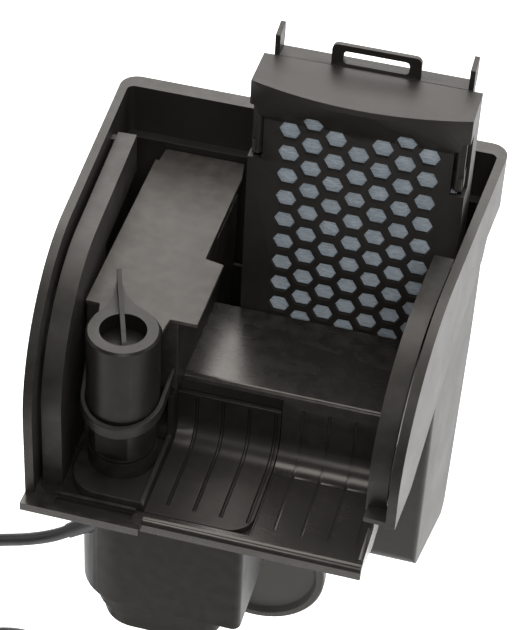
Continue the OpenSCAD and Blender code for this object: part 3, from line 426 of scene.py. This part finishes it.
def cord_points():
    """The line whose length is the cord's: the coil is drawn a little wider or tighter until it fits."""
    low, high = COIL_R - 1.5, COIL_R + 1.5
    for _ in range(30):
        mid = (low + high) / 2
        if length_of(cord_line(mid)) < CORD_LENGTH / MM:
            low = mid
        else:
            high = mid
    return cord_line(low)


def add_cord():
    curve = bpy.data.curves.new("mains_cord", "CURVE")
    curve.dimensions = "3D"
    curve.bevel_depth = CORD_D / 2 * MM
    curve.bevel_resolution = 5
    curve.use_fill_caps = True
    pts = cord_points()
    line = curve.splines.new("POLY")
    line.points.add(len(pts) - 1)
    for q, p in zip(line.points, pts):
        q.co = (*(p * MM), 1.0)
    line.use_smooth = True
    curve.materials.append(CORD)
    cord = bpy.data.objects.new("mains_cord", curve)
    link(cord, bodies["power_cord"], "power_cord", "cord_coil", slot="cord_rubber")
    plug = softened("plug_body", CORD, radius=1.2, segments=3)
    blades = softened("plug_blades", BLADE, radius=0.25)
    tie = softened("cord_tie", RUBBER, radius=0.6)
    relief = softened("cord_gland", CORD, radius=0.5)


add_cord()


# ---------------------------------------------------------------- case and other moulded pieces
MOULDED = {
    "reservoir_box": (CASE, 0.8), "upper_tub": (TUB, 0.7), "spillway_tray": (TRAY, 0.6),
    "partition_wall": (DUCT, 0.4), "duct_channel": (DUCT, 0.4), "duct_cover": (COVER, 0.5),
    "rim_pads": (RUBBER, 0.5), "levelling_disc": (DISC, 0.6), "levelling_stem": (DISC, 0.4),
    "foot_socket": (CASE, 0.3), "carrier_insert": (CARRIER, 0.4), "riser_tube": (TUBE, 0.4),
    "riser_guard": (DUCT, 0.5), "flow_regulator": (KNOB, 0.6), "pump_housing": (PUMP, 0.6),
    "outlet_spigot": (PUMP, 0.4), "volute_cover": (PUMP, 0.4), "intake_strainer": (PUMP, 0.4),
    "cartridge_front": (CART, 0.4), "cartridge_back": (CART, 0.4), "left_latch": (LATCH, 0.3),
    "right_latch": (LATCH, 0.3), "motor_block": (PUMP, 0.5), "cover_screws": (STEEL, 0.2),
}
for node, (material, radius) in MOULDED.items():
    # the honeycomb faces keep their triangles: one face with many holes doesn't bevel cleanly
    softened(node, material, radius=radius, join=not node.startswith("cartridge"))

PLAIN = {
    "riser_seal": RUBBER, "rotor_magnet": MAGNET, "impeller_wheel": PUMP, "pump_shaft": CERAMIC,
    "upper_bush": CERAMIC, "lower_bush": CERAMIC, "left_latch_pin": STEEL, "right_latch_pin": STEEL,
    "carbon_insert": CARBON,
}
for node, material in PLAIN.items():
    plain(node, material)

soft_block("filter_pad", "floss_pad", FLOSS, 2.2, 0.5, 3.0)
soft_block("prefilter_foam", "foam_block", FOAM, 2.5, 0.4, 8.0)


# ---------------------------------------------------------------- floor, backdrop and lights
def area(name, at, aim, size, power):
    """A soft box at a place in metres, turned to what it lights; size in metres, power in watts."""
    light = bpy.data.lights.new(name, "AREA")
    light.shape = "RECTANGLE"
    light.size, light.size_y = size
    light.energy = power
    o = bpy.data.objects.new(name, light)
    o.location = at
    o.rotation_euler = (Vector(aim) - Vector(at)).to_track_quat("-Z", "Y").to_euler()
    scene.collection.objects.link(o)


def sweep_sheet():
    """A pale paper sweep: floor below the object, curving up behind it."""
    m = Mat("paper")
    # what the object mirrors is dark well in front of it, as with a black flag; the camera sees it all pale
    at_y = m.node("ShaderNodeSeparateXYZ", Vector=m.coord).outputs["Y"]
    seen = m.node("ShaderNodeLightPath").outputs["Is Camera Ray"]
    lit = m.math("MAXIMUM", m.span(at_y, 0.0, 1.0, -0.75, -0.45), seen)
    tone = m.mix(m.noise(3.0, 2.0), (0.86, 0.86, 0.86), (0.89, 0.89, 0.89))
    tone = m.mix(lit, (0.03, 0.03, 0.03), tone)
    m.set(Base_Color=tone, Roughness=0.9, Emission_Color=(1, 1, 1, 1),
          Emission_Strength=m.math("MULTIPLY", lit, 0.55))
    floor_z, back_y, r = -0.30, 1.9, 0.8
    side = [(-3.0, floor_z), (back_y - r, floor_z)]
    side += [(back_y - r + r * math.sin(a), floor_z + r - r * math.cos(a))
             for a in [math.pi / 2 * i / 16 for i in range(1, 17)]] + [(back_y, 2.6)]
    bm = bmesh.new()
    rows = [[bm.verts.new((x, y, z)) for x in (-3.0, 3.0)] for y, z in side]
    for a, b in zip(rows, rows[1:]):
        bm.faces.new((a[0], a[1], b[1], b[0]))
    mesh = bpy.data.meshes.new("paper_sweep")
    bm.to_mesh(mesh)
    bm.free()
    mesh.materials.append(m.m)
    for p in mesh.polygons:
        p.use_smooth = True
    o = bpy.data.objects.new("paper_sweep", mesh)
    scene.collection.objects.link(o)


sweep_sheet()
area("top_box", (0.1, 0.35, 1.5), (0, 0, 0), (1.6, 1.2), 26.0)
area("back_box", (0.0, 1.5, 1.35), (0, 0, 0.05), (2.2, 1.0), 30.0)
area("right_box", (1.5, 0.1, 0.5), (0, 0, 0), (1.2, 1.2), 6.0)
area("front_box", (0.35, -1.3, 1.15), (0, 0, 0.05), (0.8, 0.6), 11.0)
area("left_box", (-1.5, -0.4, 0.8), (0, 0, 0), (1.0, 1.2), 4.0)

world = bpy.data.worlds.new("world")
world.use_nodes = True
sky = world.node_tree
back = sky.nodes["Background"]
back.inputs["Color"].default_value = (1, 1, 1, 1)
# weak fill light, seen by the camera as a pale backdrop
fill = sky.nodes.new("ShaderNodeMapRange")
sky.links.new(sky.nodes.new("ShaderNodeLightPath").outputs["Is Camera Ray"], fill.inputs["Value"])
fill.inputs["To Min"].default_value = 0.18
fill.inputs["To Max"].default_value = 0.95
sky.links.new(fill.outputs["Result"], back.inputs["Strength"])
scene.world = world
scene.view_settings.view_transform = "Standard"
